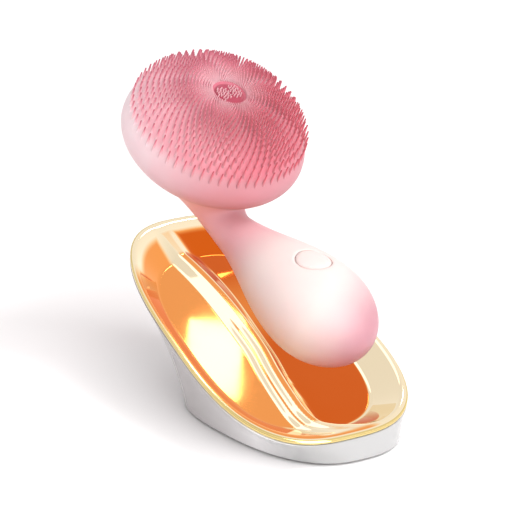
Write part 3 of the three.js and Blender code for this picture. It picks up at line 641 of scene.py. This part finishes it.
def bristle_cap():
    top = math.pi / 2 - 0.02
    profile, tone = [], []
    crown, rest = np.linspace(top, CROWN, 70), np.linspace(CROWN, HEAD["end"], 80)[1:]
    for r, z in cap_profile(0, [*crown, *rest]):
        groove = math.exp(-((r - GROOVE["radius"]) / GROOVE["width"]) ** 2)
        centre = math.exp(-(r / 0.7) ** 2)
        profile.append((r, z - GROOVE["depth"] * (groove + centre)))
        # the groove and the centre dent get painted shade
        tone.append(cap_tone(r, z, max(groove, centre)))
    r1, z1 = profile[-1]
    inner = cap_profile(CAP_WALL, np.linspace(HEAD["end"], top, 40))
    r2, z2 = inner[0]
    edge = []
    for t in np.linspace(0, math.pi, 8)[1:-1]:
        mix = (1 - math.cos(t)) / 2
        bulge = 0.3 * math.sin(t)
        edge.append((r1 + (r2 - r1) * mix - 0.6 * bulge, z1 + (z2 - z1) * mix - bulge))
    rings = turned([*profile, *edge, *inner], CAP_SIDES)
    body = skin(rings, True)
    tones = np.zeros(len(rings) * CAP_SIDES)
    tones[:len(tone) * CAP_SIDES] = np.repeat(tone, CAP_SIDES)
    # the crown's small holes, outside and in, are closed by one face each
    last = (len(rings) - 1) * CAP_SIDES
    keep = [f for f in body[1] if not (min(f) < CAP_SIDES and max(f) >= last)]
    keep += [closing_face(keep, range(CAP_SIDES)), closing_face(keep, range(last, last + CAP_SIDES))]
    pin_points, pin_faces, pin_tones = pins(bristle_places())
    points, faces = merged([(body[0], keep), (pin_points, pin_faces)])
    obj = make_object("bristle_cap", from_head(points), faces, sharp=60)
    paint(obj, "tone", np.r_[tones, pin_tones])
    return obj


# ------------------------------------------------------ materials
class Paint:
    """A procedural material under construction."""

    def __init__(self, name, metal=0.0):
        self.mat = bpy.data.materials.new(name)
        self.mat.use_nodes = True
        self.nodes, self.links = self.mat.node_tree.nodes, self.mat.node_tree.links
        self.shader = self.nodes["Principled BSDF"]
        self.shader.inputs["Metallic"].default_value = metal
        self.place = self.nodes.new("ShaderNodeTexCoord").outputs["Object"]

    def noise(self, scale, detail=2):
        node = self.nodes.new("ShaderNodeTexNoise")
        node.inputs["Scale"].default_value = scale
        node.inputs["Detail"].default_value = detail
        self.links.new(self.place, node.inputs["Vector"])
        return node.outputs["Fac"]

    def spread(self, value, start, end, low=0.0, high=1.0, soft=False):
        node = self.nodes.new("ShaderNodeMapRange")
        node.interpolation_type = "SMOOTHSTEP" if soft else "LINEAR"
        for key, number in (("From Min", start), ("From Max", end), ("To Min", low), ("To Max", high)):
            node.inputs[key].default_value = number
        self.links.new(value, node.inputs["Value"])
        return node.outputs["Result"]

    def along(self, direction, start, end):
        """0 to 1 along a direction of the resting object, from one point in millimetres to another."""
        node = self.nodes.new("ShaderNodeVectorMath")
        node.operation = "DOT_PRODUCT"
        node.inputs[1].default_value = direction
        self.links.new(self.place, node.inputs[0])
        first, last = (float(np.dot(p, direction)) * MM for p in (start, end))
        return self.spread(node.outputs["Value"], first, last, soft=True)

    def attribute(self, name):
        node = self.nodes.new("ShaderNodeAttribute")
        node.attribute_name = name
        return node.outputs["Fac"]

    def mix(self, factor, a, b):
        node = self.nodes.new("ShaderNodeMix")
        node.data_type = "RGBA"
        for key, color in (("A", a), ("B", b)):
            if isinstance(color, tuple):
                node.inputs[key].default_value = (*color, 1)
            else:
                self.links.new(color, node.inputs[key])
        self.links.new(factor, node.inputs["Factor"])
        return node.outputs["Result"]

    def ramp(self, factor, stops):
        node = self.nodes.new("ShaderNodeValToRGB")
        bar = node.color_ramp.elements
        while len(bar) < len(stops):
            bar.new(0.5)
        for stop, (at, color) in zip(bar, stops):
            stop.position, stop.color = at, (*color, 1)
        self.links.new(factor, node.inputs["Fac"])
        return node.outputs["Color"]

    def color(self, result):
        self.links.new(result, self.shader.inputs["Base Color"])

    def rough(self, low, high, scale=60):
        clouds = self.spread(self.noise(scale), 0.3, 0.7, low, high)
        self.links.new(clouds, self.shader.inputs["Roughness"])

    def grain(self, scale, strength, distance=0.0002):
        node = self.nodes.new("ShaderNodeBump")
        node.inputs["Strength"].default_value = strength
        node.inputs["Distance"].default_value = distance
        self.links.new(self.noise(scale), node.inputs["Height"])
        self.links.new(node.outputs["Normal"], self.shader.inputs["Normal"])

    def set(self, **values):
        for key, value in values.items():
            label = key.replace("_", " ").title().replace("Ior", "IOR")
            self.shader.inputs[label].default_value = value

    def skin_depth(self, weight, scale=0.003):
        self.set(subsurface_weight=weight, subsurface_scale=scale, subsurface_radius=(1.0, 0.5, 0.45))


def finish(name, color, rough, metal=0.0, vary=0.06, scale=60, bump=0.02, grain=900, coat=0.0):
    """A plain moulded or rolled surface: clouded colour, uneven roughness and a fine grain."""
    look = Paint(name, metal)
    look.color(look.mix(look.noise(scale, 3), color, tuple(c * (1 - vary) for c in color)))
    look.rough(max(0, rough - 0.05), rough + 0.05, scale)
    look.grain(grain, bump)
    look.set(coat_weight=coat, coat_roughness=0.05)
    return look.mat


# Fixed directions of the resting object, along which shade is painted. The brush's run from its painted lit side,
# at the rear left and high up, to its painted shaded side, at the front right and low down. The shell's runs from
# left to right.
SHADED = unit((0.65, -0.60, -0.47))
HEAD_SHADED = unit((0.47, -0.58, -0.65))
SHELL_SHADED = unit((0.86, -0.51, 0))
HEAD_AT, NECK_AT = from_head((0, 0, 0)), from_brush((0, NECK_END, 0))
TIP_AT = from_brush((0, -TIP_LENGTH, 0))


def pale_silicone(name):
    """The handle's skin: palest on the bulb, with painted shade making it rosier up the neck under the head and
    under the rounded end.
    """
    look = Paint(name)
    # painted shade: rosier up the neck, under the head
    neck = look.along(unit(NECK_AT - TIP_AT), from_brush((0, 16, 0)), from_brush((0, 40, 0)))
    # painted shade: rosier towards the rounded end's front right, low side
    end = look.along(SHADED, BULB - 2 * SHADED, BULB + 19 * SHADED)
    body = look.mix(end, (0.72, 0.60, 0.57), (0.45, 0.21, 0.25))
    body = look.mix(neck, body, (0.66, 0.34, 0.37))
    look.set(specular_ior_level=0.35)
    look.color(look.mix(look.spread(look.noise(90, 3), 0.35, 0.65, 0, 0.12), body, (0.78, 0.46, 0.50)))
    look.rough(0.40, 0.50, 140)
    look.grain(2600, 0.06)
    look.skin_depth(0.25)
    return look.mat


def rose_silicone(name):
    """The bristle cap: pale on the cup, rose on the pins and crown, with painted shade making it deeper to the
    front right.
    """
    look = Paint(name)
    # painted shade: deeper colours towards the head's front right, low side
    side = look.along(HEAD_SHADED, HEAD_AT - 26 * HEAD_SHADED, HEAD_AT + 22 * HEAD_SHADED)
    tone = look.attribute("tone")
    lit_side_colours = look.ramp(tone, [
        (0, (0.88, 0.71, 0.74)), (0.25, (0.84, 0.52, 0.57)),
        (0.6, (0.66, 0.24, 0.31)), (1, (0.34, 0.04, 0.08)),
    ])
    shaded_side_colours = look.ramp(tone, [
        (0, (0.48, 0.20, 0.23)), (0.25, (0.55, 0.16, 0.20)),
        (0.6, (0.58, 0.11, 0.15)), (1, (0.28, 0.02, 0.04)),
    ])
    body = look.mix(side, lit_side_colours, shaded_side_colours)
    look.color(look.mix(look.spread(look.noise(120, 3), 0.35, 0.65, 0, 0.10), body, (0.70, 0.20, 0.28)))
    look.rough(0.42, 0.52, 160)
    look.grain(2600, 0.05)
    look.skin_depth(0.12, 0.0015)
    return look.mat


def gold_plating(name):
    """Polished plating: apricot wing, painted shade making the channel deep orange, painted reflections making the
    walls champagne, and a painted dim reflection making the lip olive.
    """
    look = Paint(name, 1.0)
    tone = look.spread(look.attribute("tone"), PAINTED_SHADE_TONE, PAINTED_DIM_REFLECTION_TONE)
    # stops: the channel's painted shade, the wing's own apricot, the walls' painted reflection, the lip's painted
    # dim reflection
    body = look.ramp(tone, [
        (0, (0.68, 0.11, 0.006)), (0.33, (0.93, 0.34, 0.08)), (0.5, (0.98, 0.62, 0.30)),
        (0.66, (1.0, 0.87, 0.61)), (0.85, (0.76, 0.60, 0.25)),
    ])
    look.color(look.mix(look.spread(look.noise(25, 3), 0.3, 0.7, 0, 0.03), body, (0.92, 0.50, 0.22)))
    look.rough(0.03, 0.06, 40)
    look.grain(300, 0.003)
    return look.mat


def gloss_shell(name):
    """Polished white plastic with painted shade: grey at the left, palest between, greyer again to the right."""
    look = Paint(name)
    # painted shade across the shell, from its left to its right
    shade_across = look.along(SHELL_SHADED, BULB - 54 * SHELL_SHADED, BULB + 30 * SHELL_SHADED)
    look.color(look.ramp(shade_across, [
        (0, (0.34, 0.31, 0.31)), (0.38, (0.80, 0.79, 0.795)), (0.62, (0.40, 0.40, 0.40)),
    ]))
    look.rough(0.16, 0.20, 30)
    look.grain(1500, 0.01)
    look.set(coat_weight=0.6, coat_roughness=0.03)
    return look.mat


def put(obj, mat):
    obj.data.materials.clear()
    obj.data.materials.append(mat)


SKIN, BUTTON_SKIN = pale_silicone("silicone_pale_pink"), pale_silicone("silicone_button_pink")
BRISTLES = rose_silicone("silicone_rose")
GOLD = gold_plating("polished_gold_plating")
SHELL = gloss_shell("gloss_white_plastic")
SLOT_LOOKS = {
    "white_matte": finish("matte_white_plastic", (0.80, 0.79, 0.79), 0.5, bump=0.12, grain=1800),
    "inner_plastic": finish("natural_moulded_plastic", (0.74, 0.72, 0.70), 0.42, bump=0.06, grain=1500),
    "steel_plate": finish("rolled_steel", (0.50, 0.50, 0.52), 0.34, metal=1, bump=0.10, grain=700),
    "steel_bright": finish("bright_steel", (0.60, 0.60, 0.62), 0.25, metal=1, bump=0.05, grain=900),
    "grey_rubber": finish("grey_rubber", (0.09, 0.09, 0.10), 0.75, vary=0.2, bump=0.25, grain=2200),
    "battery_wrap": finish("shrink_wrap", (0.30, 0.42, 0.55), 0.3, bump=0.10, grain=400, coat=0.3),
    "board_green": finish("green_board", (0.03, 0.14, 0.07), 0.35,
                          vary=0.3, bump=0.10, grain=1200, coat=0.4),
    "switch_black": finish("black_moulding", (0.02, 0.02, 0.022), 0.5, bump=0.08, grain=1500),
    "lead_red": finish("lead_insulation", (0.42, 0.06, 0.03), 0.4, bump=0.05, grain=1500),
    "lamp_clear": finish("clear_lens", (0.90, 0.90, 0.86), 0.15, bump=0.01, grain=800, coat=0.6),
}

# ------------------------------------------------------ pieces
slots = {p["node"]: p["material_slot"] for p in RECORD["subparts"]}
on_stand = RECORD["behaviour"]["bodies"]["stand"]
for node, obj in NODES.items():
    if slots[node] in SLOT_LOOKS:
        put(obj, SLOT_LOOKS[slots[node]])
    # the brush leaves no mirror image in the plating, as in a retouched product picture
    obj.visible_glossy = node in on_stand

for build, mat, body, node in [
    (stand_shell, SHELL, "stand", "stand_shell"),
    (gold_tray, GOLD, "stand", "gold_tray"),
    (silicone_sleeve, SKIN, "brush", "handle_sleeve"),
    (bristle_cap, BRISTLES, "brush", "bristle_head"),
    (press_button, BUTTON_SKIN, "button", "power_button"),
]:
    obj = build()
    put(obj, mat)
    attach(obj, body)
    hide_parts(node)
    obj.visible_glossy = node in on_stand

# ------------------------------------------------------ floor, backdrop and light
floor_mesh = bpy.data.meshes.new("floor")
floor_mesh.from_pydata([(-8, -8, 0), (8, -8, 0), (8, 8, 0), (-8, 8, 0)], [], [(0, 1, 2, 3)])
floor = bpy.data.objects.new("floor", floor_mesh)
bpy.context.scene.collection.objects.link(floor)
put(floor, finish("pale_floor", (0.93, 0.92, 0.92), 0.7, vary=0.01, scale=3, bump=0))


def studio_world(horizon, overhead, behind, front, dull_share):
    """White at the horizon, quieter overhead, brighter in front; dull surfaces get dull_share of it."""
    world = bpy.data.worlds.new("studio")
    bpy.context.scene.world = world
    world.use_nodes = True
    nodes, links = world.node_tree.nodes, world.node_tree.links
    looking = nodes.new("ShaderNodeTexCoord").outputs["Generated"]

    def level(direction, start, end, low, high):
        dot = nodes.new("ShaderNodeVectorMath")
        dot.operation = "DOT_PRODUCT"
        dot.inputs[1].default_value = direction
        links.new(looking, dot.inputs[0])
        node = nodes.new("ShaderNodeMapRange")
        node.interpolation_type = "SMOOTHSTEP"
        for key, number in (("From Min", start), ("From Max", end), ("To Min", low), ("To Max", high)):
            node.inputs[key].default_value = number
        links.new(dot.outputs["Value"], node.inputs["Value"])
        return node.outputs["Result"]

    product = nodes.new("ShaderNodeMath")
    product.operation = "MULTIPLY"
    links.new(level((0, 0, 1), 0.12, 0.6, horizon, overhead), product.inputs[0])
    links.new(level(BRIGHT_SIDE, -0.8, 0.8, behind, front), product.inputs[1])
    nodes["Background"].inputs["Color"].default_value = (1, 0.97, 0.97, 1)
    # dull surfaces get less of it than polished ones mirror, so that the lights cast a shadow
    dull = nodes.new("ShaderNodeMapRange")
    dull.inputs["To Min"].default_value, dull.inputs["To Max"].default_value = 1, dull_share
    links.new(nodes.new("ShaderNodeLightPath").outputs["Is Diffuse Ray"], dull.inputs["Value"])
    strength = nodes.new("ShaderNodeMath")
    strength.operation = "MULTIPLY"
    links.new(product.outputs["Value"], strength.inputs[0])
    links.new(dull.outputs["Result"], strength.inputs[1])
    links.new(strength.outputs["Value"], nodes["Background"].inputs["Strength"])


def softbox(name, centre, target, width, height, radiance, roll=0.0):
    """A rectangular light at a point in millimetres, as bright in every size as its radiance says."""
    light = bpy.data.lights.new(name, "AREA")
    light.shape = "RECTANGLE"
    light.size, light.size_y = width, height
    light.energy = radiance * width * height * math.pi
    obj = bpy.data.objects.new(name, light)
    bpy.context.scene.collection.objects.link(obj)
    obj.location = Vector(centre) * MM
    facing = (Vector(target) * MM - obj.location).to_track_quat("-Z", "Y").to_matrix()
    obj.rotation_euler = (facing @ Matrix.Rotation(roll, 3, "Z")).to_euler()
    return obj


def mirrored(point, normal, distance):
    """The place that a mirror at the point shows to the camera's home position."""
    view = unit(eye - point)
    return point + (2 * (normal @ view) * normal - view) * distance


BRIGHT_SIDE = (0.75, -0.66, 0)
studio_world(1.12, 1.0, 0.84, 1.05, 0.74)
# the key: large, from the front, at the camera's right
KEY_FROM = unit((-0.08, -0.998, math.tan(33 * DEG)))
softbox("key", BULB + 1500 * KEY_FROM, BULB, 1.1, 1.1, 4.6)
# the side light: high, further to the right, to throw the shadow; nothing mirrors it
SIDE_FROM = unit((0.66, -0.68, 1.2))
side_light = softbox("side", BULB + 1500 * SIDE_FROM, BULB, 0.55, 0.55, 11.0)
side_light.visible_glossy = False
# a faint fill, high behind the stand's left, which the ridge mirrors
FILL_FROM = unit((-0.30, 0.46, 0.84))
softbox("fill", BULB + 1600 * FILL_FROM, BULB, 1.0, 1.0, 0.65)
# a small bright card that the flat wing of the tray mirrors
WING_PATCH = on_rim(-20.0, -7.0, WING_DEPTH)
RIM_NORMAL = RIM_TURN @ np.array([0, 0, 1.0])
CARD = dict(distance=900, width=0.036, height=0.05, radiance=9.0, roll=20 * DEG)
card_at = mirrored(WING_PATCH, RIM_NORMAL, CARD["distance"])
softbox("card", card_at, WING_PATCH, CARD["width"], CARD["height"], CARD["radiance"], CARD["roll"])

bpy.context.scene.view_settings.view_transform = "Standard"
